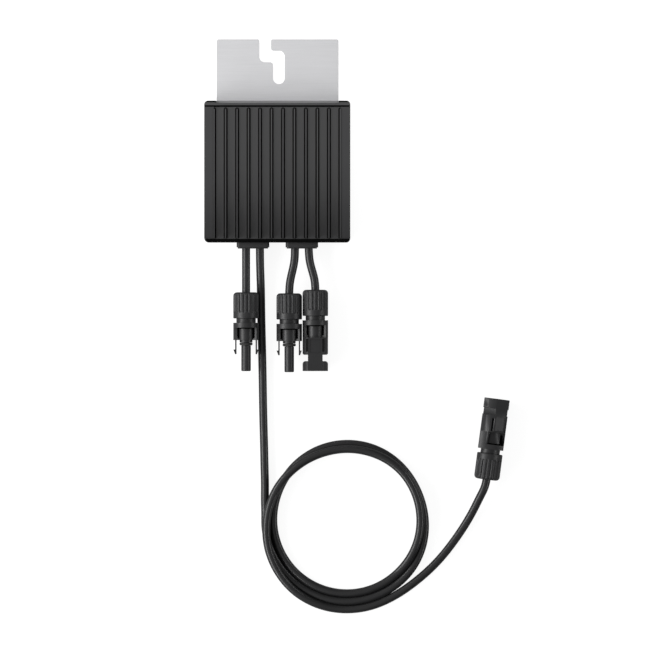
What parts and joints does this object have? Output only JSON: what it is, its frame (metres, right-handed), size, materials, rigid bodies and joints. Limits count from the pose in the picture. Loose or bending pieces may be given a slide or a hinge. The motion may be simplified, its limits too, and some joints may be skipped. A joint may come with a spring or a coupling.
{
  "type": "power optimizer",
  "caption": "Finned black power optimizer for a solar panel, with a slotted bare bracket, glands in its lower edge, and leads that end in latching cable connectors.",
  "frame": {"origin": "middle of the back cover's outer face", "axes": "+Z out of the finned front, +Y towards the bracket, +X to the right seen from the front"},
  "size_m": [0.2328, 0.4392, 0.028],
  "materials": {
    "housing_black": "fine satin powder coat",
    "cover_black": "satin powder coat",
    "bare_aluminium": "brushed, bare",
    "steel": "zinc plated",
    "gasket_rubber": "matte",
    "board_green": "solder mask",
    "chip_black": "moulded",
    "pad_grey": "soft",
    "ferrite": "sintered",
    "copper": "enamelled wire",
    "film_yellow": "moulded case",
    "terminal_brass": "plain",
    "gland_black": "moulded",
    "cable_black": "extruded sheath",
    "connector_black": "moulded, fine grain",
    "contact_tin": "tin plated"
  },
  "bodies": {
    "root": {"heat_sink_housing": "housing_black", "back_cover": "cover_black", "mounting_bracket": "bare_aluminium", "cover_screws": "steel", "bracket_screws": "steel", "board_screws": "steel", "cover_gasket": "gasket_rubber", "output_grommet": "gasket_rubber", "input_grommet": "gasket_rubber", "output_socket_seal": "gasket_rubber", "output_pin_seal": "gasket_rubber", "input_socket_seal": "gasket_rubber", "input_pin_seal": "gasket_rubber", "output_socket_o_ring": "gasket_rubber", "input_socket_o_ring": "gasket_rubber", "circuit_board": "board_green", "power_transistors": "chip_black", "controller_chip": "chip_black", "thermal_pad": "pad_grey", "inductor_cores": "ferrite", "inductor_windings": "copper", "film_capacitors": "film_yellow", "lead_terminals": "terminal_brass", "output_gland": "gland_black", "input_gland": "gland_black", "output_short_cable": "cable_black", "output_long_cable_lead": "cable_black", "output_long_cable_coil": "cable_black", "output_long_cable_tail": "cable_black", "input_left_cable": "cable_black", "input_right_cable": "cable_black", "output_socket_body": "connector_black", "output_socket_nut": "connector_black", "output_pin_body": "connector_black", "output_pin_nut": "connector_black", "input_socket_body": "connector_black", "input_socket_nut": "connector_black", "input_pin_body": "connector_black", "input_pin_nut": "connector_black", "output_socket_contact": "contact_tin", "output_pin_contact": "contact_tin", "input_socket_contact": "contact_tin", "input_pin_contact": "contact_tin"}
  },
  "joints": []
}
